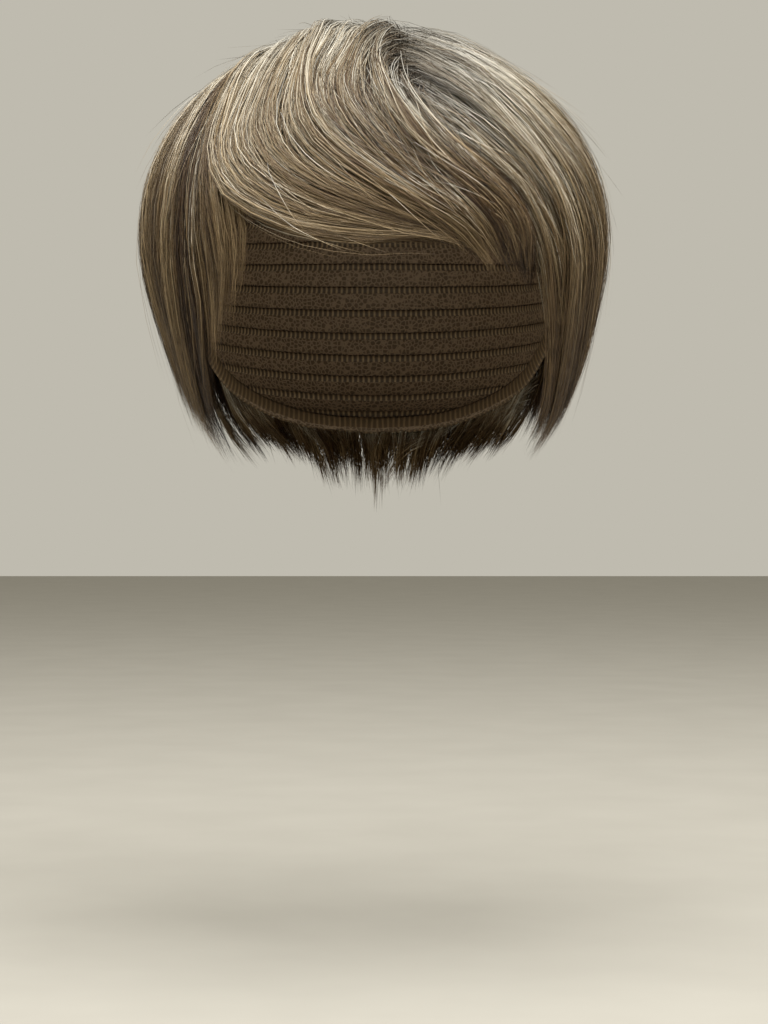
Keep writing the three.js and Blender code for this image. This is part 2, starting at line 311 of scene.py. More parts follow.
def section_lines(guides):
    """A section's guides as lines on the crown map, and the share across it where each lies."""
    lines = np.array([guide_line(guide) for guide in guides])
    gaps = np.linalg.norm(np.diff(lines, axis=0), axis=-1).mean(axis=1)
    return lines, np.append(0, np.cumsum(gaps)) / gaps.sum()


def combed_place(section, across, along):
    """The crown-map place at a share across a section's guides and along them. Shares a little
    below 0 or above 1 carry on in a straight line past the outer guides or the tips."""
    lines, shares = section
    samples = lines.shape[1]
    g = np.clip(np.searchsorted(shares, across, side="right") - 1, 0, len(shares) - 2)
    s = np.clip(np.floor(along * (samples - 1)), 0, samples - 2).astype(int)
    over = ((across - shares[g]) / (shares[g + 1] - shares[g]))[..., None]
    on = (along * (samples - 1) - s)[..., None]
    first = lines[g, s] * (1 - on) + lines[g, s + 1] * on
    second = lines[g + 1, s] * (1 - on) + lines[g + 1, s + 1] * on
    return first * (1 - over) + second * over


SECTIONS = {name: section_lines(guides) for name, guides in GUIDES.items()}
print("places on each combed line:", LINE_SAMPLES)

# %% [markdown]
# Fibres do not lie singly. They gather into wisps a few millimetres wide, and wisps into locks. Geometry
# Nodes or particle hair could scatter the fibres, but plain arrays let each of these rules be written
# down, and they give a mesh straight away. A bundle shares one layer's fibres out over locks and wisps,
# and draws chance values for a whole lock, a whole wisp or each fibre.

# %% Locks and wisps
LOCK_WIDTHS = (0.5, 1.5)  # how wide locks are against one another
WISP_SHIFT = 0.6          # how far wisps lie off an even row, in half widths of a wisp
CROSSING_SHARE = 0.28     # wisps that lie across their neighbours
HEM_COLUMNS = ("across", "short", "long", "density", "tone")


class Bundle:
    """The fibres of one layer: which lock and wisp each belongs to, and draws for all of them."""

    def __init__(self, recipe, layer):
        self.recipe, self.layer = recipe, layer
        self.rng = np.random.default_rng(layer["seed"])
        self.count, self.locks, self.wisps = layer["fibres"], recipe["locks"], recipe["wisps"]
        edges = np.cumsum(np.append(0, self.rng.uniform(*LOCK_WIDTHS, self.locks)))
        edges = np.interp(edges, (0, edges[-1]), layer.get("across", recipe["across"]))
        self.middle, self.half = (edges[:-1] + edges[1:]) / 2, np.diff(edges) / 2
        weight = self.half * self.at_hem("density")
        self.lock = self.rng.choice(self.locks, self.count, p=weight / weight.sum())
        self.wisp = self.rng.integers(0, self.wisps, self.count)
        every_wisp = (self.locks, self.wisps)
        even_row = (np.arange(self.wisps) + 0.5) * 2 / self.wisps - 1
        wisp_middle = even_row + self.rng.uniform(-WISP_SHIFT, WISP_SHIFT, every_wisp) / self.wisps
        self.wisp_middle = wisp_middle[self.lock, self.wisp]
        self.in_wisp = self.rng.uniform(-1, 1, self.count)
        self.crossing = (self.rng.random(every_wisp) < CROSSING_SHARE)[self.lock, self.wisp]

    def at_hem(self, column):
        """What a column of the recipe's hem says for each lock."""
        rows = np.array(self.recipe["hem"]).T
        return np.interp(self.middle, rows[0], rows[HEM_COLUMNS.index(column)])

    def by_lock(self, spread):
        return self.rng.normal(0, spread, self.locks)[self.lock]

    def by_wisp(self, spread):
        return self.rng.normal(0, spread, (self.locks, self.wisps))[self.lock, self.wisp]

    def by_fibre(self, spread):
        return self.rng.normal(0, spread, self.count)


print("share of wisps that cross their neighbours:", CROSSING_SHARE)

# %% [markdown]
# A fibre runs from its root on the cap to its tip. The tip lies at the fibre's own length, or at the hem
# where the scissors cut it, and locks and wisps end a little raggedly. The points along a fibre lie
# close together where it bends most: at the root, where it leaves the cap, and halfway.

# %% From root to tip
ROOT_STEPS = (0.0, 0.003, 0.012, 0.05)  # shares of the length at the first points
MIDDLE_BEND = 0.4   # how much closer the points lie halfway
POINT_SHIFT = 0.35  # how far points lie off even steps, so that bends don't line up
HEM_FULLNESS = 0.6  # below 1, more of the fibres reach the long side of the hem
WISP_RAGGED = 0.8   # how ragged wisps are against locks
SHORTEST = 0.12     # shortest fibre, as a share of a guide
FULL_TURN = 2 * math.pi


def even_steps(points):
    """Shares of a fibre's length where its points lie."""
    t = np.linspace(0, 1, points - len(ROOT_STEPS) + 1)[1:]
    t = t + MIDDLE_BEND * np.sin(FULL_TURN * t) / FULL_TURN
    return np.append(ROOT_STEPS, ROOT_STEPS[-1] + (1 - ROOT_STEPS[-1]) * t)


def root_to_tip(bundle):
    """Each fibre's root, and the shares of its own length and of its guide at every point."""
    rng, count, recipe, layer = bundle.rng, bundle.count, bundle.recipe, bundle.layer
    low_root, high_root = layer["roots"]
    root = low_root + (high_root - low_root) * rng.random(count) ** layer["root_bias"]
    short, long = (bundle.at_hem(column)[bundle.lock] for column in ("short", "long"))
    hem = short + (long - short) * rng.random(count) ** HEM_FULLNESS
    length = rng.uniform(*layer.get("lengths", recipe["lengths"]), count)
    tip = np.minimum(root + length, hem)
    tip = tip + bundle.by_lock(recipe["ragged"]) + bundle.by_wisp(WISP_RAGGED * recipe["ragged"])
    tip = np.maximum(tip, root + SHORTEST)
    t = np.tile(even_steps(layer["points"]), (count, 1))
    first = len(ROOT_STEPS)
    t[:, first:-1] += rng.uniform(-POINT_SHIFT, POINT_SHIFT, (count, 1)) * np.diff(t, axis=1)[:, first:]
    return root, t, root[:, None] + (tip - root)[:, None] * t


print("points of a fibre of ten:", even_steps(10).round(3).tolist())

# %% [markdown]
# Locks and wisps close up towards their tips, which gives hair its pointed ends. Some fibres and wisps
# wander across their lock on the way, and a few wisps cross their neighbours. Without that the hair
# would look like drawn wire.

# %% Across the section
LOCK_CLOSES = (0.1, 0.9)    # shares along the guide where a lock starts and ends to close up
WISP_CLOSES = (0.15, 0.9)
WISP_ROOT_CLOSE = 0.1       # how far a wisp is closed at its root
WANDERING = 0.55            # share of the fibres that wander singly
FIBRE_WANDER = 1.3          # how far they wander, in half widths of a lock
WISP_WANDER = 1.0
LOCK_WANDER = 0.8
CROSSING_REACH = 3.5
WANDER_PIVOT = 0.4          # share of the length where a wandering fibre passes its own place
ROOT_MIXING = 0.07          # share of the guide over which the scatter of the roots dies away


def smooth_step(low, high, x):
    """0 below low, 1 above high and a smooth rise between them."""
    t = np.clip((x - low) / (high - low), 0, 1)
    return t * t * (3 - 2 * t)


def lay_across(name, bundle, root, t, along):
    """Where points lie across their lock and across the section, and their crown-map places."""
    recipe, lock = bundle.recipe, bundle.lock
    close_lock = recipe["gather"] * smooth_step(*LOCK_CLOSES, along)
    close_wisp = WISP_ROOT_CLOSE + recipe["close"] * smooth_step(*WISP_CLOSES, along)
    in_lock = bundle.wisp_middle[:, None] * (1 - close_lock)
    in_lock = in_lock + bundle.in_wisp[:, None] / bundle.wisps * (1 - close_wisp)
    wander = np.where(bundle.rng.random(bundle.count) < WANDERING, bundle.by_fibre(FIBRE_WANDER), 0)
    wander = wander + bundle.by_wisp(WISP_WANDER) + bundle.by_lock(LOCK_WANDER)
    crossing = np.where(bundle.crossing, bundle.by_wisp(CROSSING_REACH), 0)
    wander = wander * bundle.layer.get("wander", 1.0) + crossing
    aside = in_lock + wander[:, None] * (t - WANDER_PIVOT)
    across = bundle.middle[lock][:, None] + bundle.half[lock][:, None] * aside
    place = combed_place(SECTIONS[name], across, along)
    scatter = bundle.rng.normal(0, recipe["root_scatter"], (bundle.count, 1, 2))
    place = place + scatter * np.exp(-(along - root[:, None]) / ROOT_MIXING)[..., None]
    return in_lock, across, place


print("share of fibres that wander singly:", WANDERING)

# %% [markdown]
# A stylist lifts the hair in some places and presses it flat in others. Each such place is a soft mound
# or hollow that is added to the outside of the hair, so that all fibres there rise or sink together.

# %% Mounds and hollows
MOUNDS = [  # azimuth and polar of the middle, height in mm, reach in degrees
    (-30, 68, 4.0, 11),  # the fold over the right temple, where the fringe turns
    (-4, 50, 2.5, 12),   # the middle of the fringe, which falls away below
    (30, 48, 3.5, 11),   # the lock that is lifted left of the parting
    (10, 67, -3.0, 10),  # the hollow where the fringe lies flat
    (82, 105, 2.5, 16),  # the left side, which stands out further over the ear
]


def mound_height(place):
    """How far mounds and hollows lift the hair at places on the crown map."""
    height = 0
    for azimuth, polar, rise, reach in MOUNDS:
        off = np.linalg.norm(place - crown_map(azimuth, polar), axis=-1)
        height = height + rise * MM * np.exp(-(off / reach) ** 2)
    return height


print("lift at the right temple in mm:", round(float(mound_height(crown_map(-30, 68))) / MM, 1))

# %% [markdown]
# A fibre that is rooted higher lies over those rooted below it, so its depth follows from where its root
# is. It rises from the cap within a few millimetres, and then lies on the rounded ridge of its wisp and
# of its lock. Locks that lie above or below one another leave the dark lines that part them.

# %% Depth
CAP_CLEARANCE = 0.3 * MM   # between the cap and the innermost hair
LOWEST_FIBRE = 0.1 * MM    # nothing lies closer than this above that clearance
ROOT_RISE = 0.7 * MM       # how soon a fibre rises from the cap to the depth it lies at
NEAR_ROOT = 1e-3           # keeps the level finite for a root right at the parting
PARTING_DIP = 1.2 * MM     # how far the hair lies down beside the parting
PARTING_REACH = 0.12       # share of the guide that this takes up
TUCK_ALONG = (0.75, 1.0)   # shares along the guide where the tips turn in
EDGE_ACROSS = (0.8, 1.05)  # shares across the section where its last edge drops
FULL_DEPTH = 14 * MM       # hair as deep as this has its full ridges
RIDGE_END = 1.5            # a lock's ridge falls off by no more than this many heights
WISP_RIDGE = 0.5 * MM      # height of a wisp's middle over its edges
LOCK_LIFT = 1.2 * MM       # how far locks lie above or below one another
WISP_LIFT = 0.7 * MM
FIBRE_LIFT = 0.5 * MM
CROSSING_LIFT = 0.8 * MM


def lay_deep(bundle, root, along, in_lock, across, place):
    """Points in space, and the share of its rise from the cap that a fibre has at each of them."""
    recipe = bundle.recipe
    polar = np.linalg.norm(place, axis=-1)
    azimuth = np.degrees(np.arctan2(place[..., 0], -place[..., 1]))
    inner = cap_radius(azimuth, polar) + CAP_WALL + CAP_CLEARANCE
    outer = hair_radius(azimuth, polar) + mound_height(place)
    outer = outer - PARTING_DIP * (1 - smooth_step(0, PARTING_REACH, along))
    outer = outer - recipe["tuck"] * MM * smooth_step(*TUCK_ALONG, along)
    outer = outer - recipe["edge_drop"] * MM * smooth_step(*EDGE_ACROSS, across)
    depth = outer - inner
    level = np.maximum(1 - root[:, None] / np.maximum(along, NEAR_ROOT), bundle.layer["cover"])
    step_length = np.radians(np.linalg.norm(np.diff(place, axis=1), axis=-1)) * outer[:, 1:]
    travelled = np.concatenate([np.zeros((bundle.count, 1)), np.cumsum(step_length, axis=1)], axis=1)
    rise = 1 - np.exp(-travelled / ROOT_RISE)
    room = np.clip(depth / FULL_DEPTH, 0, 1) * rise
    ridge = recipe["ridge"] * MM * np.minimum(in_lock ** 2, RIDGE_END)
    ridge = ridge + WISP_RIDGE * (bundle.in_wisp ** 2)[:, None]
    lift = bundle.by_lock(LOCK_LIFT) + bundle.by_wisp(WISP_LIFT) + bundle.by_fibre(FIBRE_LIFT)
    lift = lift + CROSSING_LIFT * bundle.crossing
    radius = inner + depth * level * rise + room * (lift[:, None] - ridge)
    return place_at(azimuth, polar, np.maximum(radius, inner + LOWEST_FIBRE)), rise


print("innermost fibres above the cap in mm:", round((CAP_CLEARANCE + LOWEST_FIBRE) / MM, 1))

# %% [markdown]
# Combed hair still sways: locks in long shallow waves, single fibres in shorter ones. A few fibres come
# loose and stand off, which breaks the outline as on real hair.

# %% Sway and loose fibres
LOCK_WAVES = 1.3              # waves of a lock along its guide
LOCK_SWAY = 1.8 * MM
LOCK_SWAY_SHARES = (0.2, 1)   # from the stillest lock to the one that sways most
FIBRE_WAVES = (0.8, 2.2)
FIBRE_SWAY = 0.75 * MM
FIBRE_SWAY_SHARES = (0, 2)
LOOSE_BEND = 1.6              # above 1, a loose fibre leaves the others late in its length
LOOSE_SWAY = 5.0 * MM
LOOSE_LIFT = 2.6 * MM         # how far loose fibres stand off on average
LOOSE_SHAPE = 2.0             # low, so that many stay close and a few stand far off
LOOSE_REACH = 8.0 * MM


def unit(vectors):
    return vectors / np.linalg.norm(vectors, axis=-1, keepdims=True)


def sway_fibres(bundle, t, along, rise, points):
    """Points moved to the sides and outward, and which fibres are loose."""
    rng, count, locks, lock = bundle.rng, bundle.count, bundle.locks, bundle.lock
    outward = unit(points - CAP_MIDDLE)
    sideways = unit(np.cross(np.gradient(points, axis=1), outward))
    lock_wave = np.sin(FULL_TURN * (LOCK_WAVES * along + rng.random(locks)[lock][:, None]))
    turns = rng.uniform(*FIBRE_WAVES, count)[:, None] * along + rng.random(count)[:, None]
    sway = LOCK_SWAY * lock_wave * rng.uniform(*LOCK_SWAY_SHARES, locks)[lock][:, None]
    fibre_wave = FIBRE_SWAY * np.sin(FULL_TURN * turns)
    sway = sway + fibre_wave * rng.uniform(*FIBRE_SWAY_SHARES, count)[:, None]
    is_loose = rng.random(count) < bundle.layer["loose"]
    loose = is_loose[:, None] * t ** LOOSE_BEND
    sway = sway * rise + loose * bundle.by_fibre(LOOSE_SWAY)[:, None]
    stand_off = np.minimum(rng.gamma(LOOSE_SHAPE, LOOSE_LIFT / LOOSE_SHAPE, count), LOOSE_REACH)
    stand_off = loose * stand_off[:, None]
    return points + sway[..., None] * sideways + stand_off[..., None] * outward, is_loose


print("loose fibres stand off by at most mm:", round(LOOSE_REACH / MM, 1))

# %% [markdown]
# Last come a fibre's thickness and its tone. It is finest at the tip, and tones differ from lock to lock,
# from wisp to wisp and from fibre to fibre, because a wig's fibre is mixed from several dye lots. With
# that a whole layer can be combed.

# %% Thickness, tone and combing
LOOSE_THIN = 0.75             # thickness of loose fibres against the others
TAPER_ALONG = (0, 0.1, 0.8, 1)
TAPER = (0.8, 1, 1, 0.55)     # shares of the thickness at those shares of the length
LOCK_TONE_SPREAD = 1.6        # times the recipe's own value
WISP_TONE_SPREAD = 0.18
FIBRE_TONE_SPREAD = 0.2
TONE_ENDS = (0.04, 1)


def thickness_and_tone(bundle, t, is_loose):
    """The thickness of each fibre at its points, and one tone for each fibre."""
    rng, recipe, lock, locks = bundle.rng, bundle.recipe, bundle.lock, bundle.locks
    width = rng.uniform(*recipe["thickness"], bundle.count) * np.where(is_loose, LOOSE_THIN, 1.0) * MM
    # Besides the mix of dye lots, layer tones and hem shifts carry painted highlight and painted shade in
    # places
    tone = bundle.layer["tone"] + bundle.at_hem("tone")[lock]
    tone = tone + recipe["lock_tone"] * rng.uniform(-LOCK_TONE_SPREAD, LOCK_TONE_SPREAD, locks)[lock]
    by_wisp = rng.uniform(-WISP_TONE_SPREAD, WISP_TONE_SPREAD, (locks, bundle.wisps))
    tone = tone + by_wisp[lock, bundle.wisp] + bundle.by_fibre(FIBRE_TONE_SPREAD)
    return width[:, None] * np.interp(t, TAPER_ALONG, TAPER), np.clip(tone, *TONE_ENDS)


def comb(name, recipe, layer):
    """Points, thickness and tone of a layer's fibres, and where each point lies on the length shades."""
    bundle = Bundle(recipe, layer)
    root, t, along = root_to_tip(bundle)
    in_lock, across, place = lay_across(name, bundle, root, t, along)
    points, rise = lay_deep(bundle, root, along, in_lock, across, place)
    points, is_loose = sway_fibres(bundle, t, along, rise, points)
    thickness, tone = thickness_and_tone(bundle, t, is_loose)
    # The last value places each point on the painted shade along the length
    return points, thickness, tone, np.minimum(t * recipe.get("painted_shade_reach", 1.0), 1)


print("thickness left at a tip:", TAPER[-1])

# %% [markdown]
# A fibre is far thinner than a pixel, so a tube would spend most of its faces where nobody can see
# them. It becomes a narrow ribbon that ends in a point, rolled a little to one side or the other, and
# its two edges get normals that lean outward, so that light runs over it as over something round.

# %% Ribbons
ROLL = math.radians(40)   # how far a ribbon is rolled at most
ROUND = math.radians(55)  # how far the normals lean outward at its edges


def ribbon_corners(points, thickness, seed):
    """Corners of every ribbon, two at each point and one at the tip, and their normals."""
    count = len(points)
    roll = np.random.default_rng(seed).uniform(-ROLL, ROLL, count)[:, None, None]
    onward = unit(np.gradient(points, axis=1))
    side = unit(np.cross(onward, points - CAP_MIDDLE))
    up = np.cross(side, onward)
    face = np.cos(roll) * up + np.sin(roll) * side
    wide = (np.cos(roll) * side - np.sin(roll) * up)[:, :-1, None] * np.array((-1, 1))[:, None]
    edges = points[:, :-1, None] + thickness[:, :-1, None, None] / 2 * wide
    lean = math.cos(ROUND) * face[:, :-1, None] + math.sin(ROUND) * wide
    corners = np.concatenate([edges.reshape(count, -1, 3), points[:, -1:]], axis=1)
    normals = np.concatenate([lean.reshape(count, -1, 3), face[:, -1:]], axis=1)
    return corners, normals


def ribbon_faces(count, steps):
    """Corner numbers of all faces in one row, and how many corners each face has."""
    quads = [(2 * k, 2 * k + 1, 2 * k + 3, 2 * k + 2) for k in range(steps - 2)]
    last = 2 * (steps - 2)
    one_ribbon = np.append(np.array(quads).ravel(), (last, last + 1, last + 2))
    per_ribbon = last + 3
    numbers = (one_ribbon[None, :] + per_ribbon * np.arange(count)[:, None]).ravel()
    return numbers, np.tile(np.append(np.full(len(quads), 4), 3), count)


print("faces of a ribbon with ten points:", len(ribbon_faces(1, 10)[1]))

# %% [markdown]
# All ribbons of a layer are joined into one mesh straight from the arrays, which is far quicker than an
# object for each. Every corner carries its fibre's tone and how far along it lies, for the material. The
# map named OFBake lays the ribbons out by tone and by length, so that a texture can hold their colour.

# %% Fibres into a mesh
MAP_SIDE_MARGIN = 0.03
MAP_END_MARGIN = 0.02
MAP_HALF_WIDTH = 0.006  # of a ribbon on the map


def fibre_mesh(name, points, thickness, tone, t, seed):
    """One mesh of tapering ribbons, and how many triangles it has."""
    count, steps = t.shape
    corners, normals = ribbon_corners(points, thickness, seed)
    numbers, totals = ribbon_faces(count, steps)
    starts = np.append(0, np.cumsum(totals)[:-1])

    mesh = bpy.data.meshes.new(name)
    mesh.vertices.add(corners.size // 3)
    mesh.vertices.foreach_set("co", corners.astype(np.float32).ravel())
    mesh.loops.add(len(numbers))
    mesh.loops.foreach_set("vertex_index", numbers.astype(np.int32))
    mesh.polygons.add(len(totals))
    mesh.polygons.foreach_set("loop_start", starts.astype(np.int32))
    mesh.polygons.foreach_set("loop_total", totals.astype(np.int32))
    mesh.polygons.foreach_set("use_smooth", np.ones(len(totals), bool))

    tones = np.repeat(tone, corners.shape[1])
    alongs = np.concatenate([np.repeat(t[:, :-1], 2, axis=1), t[:, -1:]], axis=1).ravel()
    for label, values in (("tone", tones), ("along", alongs)):
        mesh.attributes.new(label, "FLOAT", "POINT").data.foreach_set("value", values.astype(np.float32))
    aside = np.tile(np.append(np.tile((-MAP_HALF_WIDTH, MAP_HALF_WIDTH), steps - 1), 0), count)
    map_across = MAP_SIDE_MARGIN + (1 - 2 * MAP_SIDE_MARGIN) * tones + aside
    map_along = MAP_END_MARGIN + (1 - 2 * MAP_END_MARGIN) * alongs
    bake_map = mesh.uv_layers.new(name="OFBake")
    on_map = np.stack([map_across, map_along], axis=-1)[numbers]
    bake_map.data.foreach_set("uv", on_map.astype(np.float32).ravel())
    mesh.update(calc_edges=True)
    mesh.normals_split_custom_set_from_vertices(normals.reshape(-1, 3).tolist())
    return mesh, len(numbers) - 2 * len(totals)


print("width of a ribbon on the map:", 2 * MAP_HALF_WIDTH)

# %% [markdown]
# The fibre is modacrylic, a synthetic that is spun fine, dyed in the mass and heat-set. Its surface is
# smooth, so it has a clear but soft sheen, and a wig mixes many dye lots: here brown, ash brown and pale
# ash blond. Each fibre keeps one tone. Over it lies painted shade along the length: darker and cool grey
# at the root, where the grey stands in for the sheen on the crown, full in the middle, and darker and
# warmer towards the tip, for the lower hair that the overhead lamp reaches less. An image could hold
# this, but two ramps stay sharp at any size.

# %% Modacrylic fibre
FIBRE_TONES = [
    (0.0, "#2a1a0c"),
    (0.28, "#58422a"),
    (0.52, "#837257"),
    (0.76, "#b3a892"),
    (1.0, "#ddd5c3"),
]
# Painted shade along a fibre: dark cool grey at the root as a painted sheen, darker and warmer at the tip
PAINTED_SHADE_ALONG = [
    (0.0, "#a8a8ac"),
    (0.2, "#d0d3d8"),
    (0.42, "#ffffff"),
    (0.68, "#baa88b"),
    (1.0, "#6d583b"),
]


def modacrylic_fibre():
    """Spun synthetic fibre: the eye sees a satin band of light across many fine strands."""
    material, tree = new_material("modacrylic_fibre")
    tone = add_node(tree, "ShaderNodeAttribute", {"attribute_name": "tone"})
    along = add_node(tree, "ShaderNodeAttribute", {"attribute_name": "along"})
    dye = add_node(tree, "ShaderNodeValToRGB", {"ramp": FIBRE_TONES}, {"Fac": tone.outputs["Fac"]})
    # Painted shade along the length, multiplied into the fibre's own dye colour
    shade = add_node(tree, "ShaderNodeValToRGB", {"ramp": PAINTED_SHADE_ALONG}, {"Fac": along.outputs["Fac"]})
    colour = add_node(tree, "ShaderNodeVectorMath", {"operation": "MULTIPLY"},
                      {0: dye.outputs["Color"], 1: shade.outputs["Color"]})
    finish_material(tree, {"Roughness": 0.46, "IOR": 1.55, "Specular IOR Level": 0.36},
                    {"Base Color": colour.outputs["Vector"]})
    return material


fibre = modacrylic_fibre()
print("fibre tones:", len(FIBRE_TONES), "and length shades:", len(PAINTED_SHADE_ALONG))

# %% [markdown]
# Each section has a recipe, and is combed in layers, because a wig is sewn and combed in layers: the top
# one is rooted at the parting, the one under it further down, and a thin one of short loose fibres lies
# over both. The under layer is darker, partly as the darker hair that a wig has underneath and partly as
# painted shade in the gaps between locks. Each layer is one piece, which keeps every mesh to a size that
# is easy to handle.

# %% Layers of a section
def add_piece(name, mesh, material, node):
    """Puts a mesh with its material in place of a solid, and hides the solid."""
    mesh.materials.append(material)
    piece = bpy.data.objects.new(name, mesh)
    scene.collection.objects.link(piece)
    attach(piece, "root")
    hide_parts(node)


def add_section(section, recipe):
    """Combs a section layer by layer, and tells how many triangles each layer has."""
    triangles = {}
    for layer_name, layer in recipe["layers"].items():
        label = section + "_" + layer_name
        mesh, triangles[label] = fibre_mesh(label, *comb(section, recipe, layer), layer["seed"])
        add_piece(label, mesh, fibre, section)
    print("triangles:", triangles)


def loose_layer(last_root, tone, seed):
    """Short single fibres that stand off the top of a section."""
    return {"fibres": 240, "points": 10, "roots": (0.0, last_root), "root_bias": 1.0, "cover": 1.0,
            "loose": 1.0, "tone": tone, "seed": seed, "lengths": (0.12, 0.3)}


print("loose fibres on a section:", loose_layer(0.5, 0.7, 0)["fibres"])

# %% [markdown]
# The fringe falls forward from the whorl, turns over the right temple and sweeps across to the left. It
# is the longest and palest hair, partly by its own tone and partly as painted light on top of the head,
# with shorter fibres brushed over its lower half. It has more points to a fibre than the other sections,
# because it bends most. The comments tell what the rows of any recipe say: shares are of a guide's
# length, or of the way across the guides.

# %% Fringe
FRINGE = {
    "locks": 30, "wisps": 7,        # in the section, and in each lock
    "across": (-0.03, 1.1),         # where the first lock starts and the last one ends
    "root_scatter": 2.5,            # degrees that the roots lie off their lines
    "lengths": (0.5, 1.1),          # shortest and longest cut
    "ragged": 0.026,                # how uneven the tips are
    "hem": [                        # across, shortest and longest tip, density, shift of tone
        # Tone shifts: a painted highlight at the fold, and painted shade towards the last edge, under the
        # left side's lifted lock
        (0.0, 0.89, 1.03, 1.0, 0.1),
        (0.3, 0.83, 1.02, 1.0, 0.06),
        (0.45, 0.75, 0.96, 1.0, -0.04),
        (0.6, 0.72, 0.95, 1.0, -0.12),
        (1.0, 0.7, 0.94, 1.0, -0.26),
    ],
    "gather": 0.28, "close": 0.55,  # how far locks and wisps close up towards their tips
    "ridge": 2.4,                   # mm that a lock's middle stands over its edges
    "tuck": 4.0, "edge_drop": 5.0,  # mm that the tips and the last edge turn in
    "lock_tone": 0.1,               # how far locks differ in tone
    # painted_shade_reach: how far along the painted shade a fibre's tip reaches
    "painted_shade_reach": 0.88,                   # share of the length shades run through; above 1, before the tip
    "thickness": (0.15, 0.28),      # mm, thicker than real fibre, so that fewer cover the cap
    "layers": {
        # points along a fibre; roots along the guide, crowded at the parting by a bias above 1; cover is
        # the least share of the depth where the fibres lie, and loose the share that stands off
        "top": {"fibres": 5000, "points": 20, "roots": (0.0, 0.3), "root_bias": 2.2, "seed": 11,
                "cover": 0.75, "loose": 0.006, "tone": 0.72, "wander": 1.7},
        "under": {"fibres": 2500, "points": 11, "roots": (0.15, 0.6), "root_bias": 1.0, "seed": 12,
                  "cover": 0.0, "loose": 0.0, "tone": 0.36},
        "brushed": {"fibres": 1200, "points": 10, "roots": (0.3, 0.7), "root_bias": 1.0, "seed": 14,
                    "cover": 0.97, "loose": 0.1, "tone": 0.5, "lengths": (0.2, 0.4),
                    "across": (0.25, 1.1), "wander": 4.0},
        "loose": loose_layer(0.7, 0.75, 16),
    },
}
add_section("fringe", FRINGE)

# %% [markdown]
# The hair of the wearer's left side is lifted beside the parting and falls over the ear in firm locks,
# which close up to points. Its tone is painted paler where the lifted lock catches the light: a painted
# highlight.

# %% Hair of the left side
SIDE_HAIR_LEFT = {
    "locks": 30, "wisps": 5, "across": (-0.05, 1.1), "root_scatter": 2.5, "lengths": (0.55, 1.0),
    "ragged": 0.022,
    "hem": [
        # These tone shifts are a painted highlight: paler over the lifted lock, most at 0.4 across
        (0.0, 0.94, 1.05, 1.0, 0.12),
        (0.07, 0.94, 1.04, 1.0, 0.15),
        (0.14, 0.94, 1.03, 1.0, 0.2),
        (0.4, 0.93, 1.02, 1.0, 0.32),
        (0.6, 0.89, 0.98, 1.0, 0.1),
        (1.0, 0.89, 0.99, 1.0, 0.0),
    ],
    "gather": 0.62, "close": 0.6, "ridge": 4.6, "tuck": 2.5, "edge_drop": 0.0, "lock_tone": 0.2,
    # A reach above 1 paints the side's lower half darker: painted shade away from the overhead lamp
    "painted_shade_reach": 1.2, "thickness": (0.15, 0.28),
    "layers": {
        "top": {"fibres": 5800, "points": 14, "roots": (0.0, 0.3), "root_bias": 2.2, "seed": 23,
                "cover": 0.75, "loose": 0.02, "tone": 0.57},
        "under": {"fibres": 2600, "points": 10, "roots": (0.15, 0.65), "root_bias": 1.0, "seed": 24,
                  "cover": 0.0, "loose": 0.0, "tone": 0.16, "across": (0.12, 1.1)},
        "loose": loose_layer(0.5, 0.7, 25),
    },
}
add_section("side_hair_left", SIDE_HAIR_LEFT)

# %% [markdown]
# The hair of the wearer's right side leaves the whorl beside the fringe and falls over the ear. A layer
# of its own closes the temple in front, where short pale hair comes out from under the fringe. Its tone
# is painted paler still, painted light against the fringe's shadow, and the fibres just behind it are
# painted darker, a painted shade along the front edge of the hair over the ear.

# %% Hair of the right side
SIDE_HAIR_RIGHT = {
    "locks": 30, "wisps": 5, "across": (-0.1, 1.0), "root_scatter": 2.5, "lengths": (0.55, 1.0),
    "ragged": 0.022,
    "hem": [
        (0.0, 0.89, 0.99, 1.0, 0.0),
        (0.4, 0.89, 0.98, 1.0, 0.0),
        (0.65, 0.95, 1.04, 1.0, 0.0),
        (0.74, 0.95, 1.05, 1.0, 0.05),
        # Painted shade: darker fibres along the front edge of the hair over the ear, where it lies in
        # shadow
        (0.84, 0.95, 1.07, 1.0, -0.2),
        (0.9, 0.9, 1.03, 1.0, -0.2),
        # Painted light: paler fibres at the temple, lifted out of the fringe's shadow
        (0.95, 0.88, 1.03, 1.1, 0.12),
        (1.0, 0.84, 1.0, 1.2, 0.2),
    ],
    "gather": 0.62, "close": 0.6, "ridge": 4.6, "tuck": 2.5, "edge_drop": 0.0, "lock_tone": 0.2,
    "thickness": (0.15, 0.28),
    "layers": {
        "top": {"fibres": 5800, "points": 14, "roots": (0.0, 0.3), "root_bias": 2.2, "seed": 37,
                "cover": 0.75, "loose": 0.02, "tone": 0.57},
        "under": {"fibres": 2600, "points": 10, "roots": (0.15, 0.65), "root_bias": 1.0, "seed": 38,
                  "cover": 0.0, "loose": 0.0, "tone": 0.16, "across": (-0.1, 0.85)},
        # The temple's pale tone is partly painted light
        "temple": {"fibres": 700, "points": 11, "roots": (0.15, 0.5), "root_bias": 1.0, "seed": 40,
                   "cover": 0.8, "loose": 0.02, "tone": 0.75, "across": (0.82, 1.03)},
        "loose": loose_layer(0.5, 0.7, 39),
    },
}
add_section("side_hair_right", SIDE_HAIR_RIGHT)

# %% [markdown]
# The back falls straight down from the crown over the fullest part of the form and turns in at its hem.
# It is even all the way across, so its hem needs only two rows.

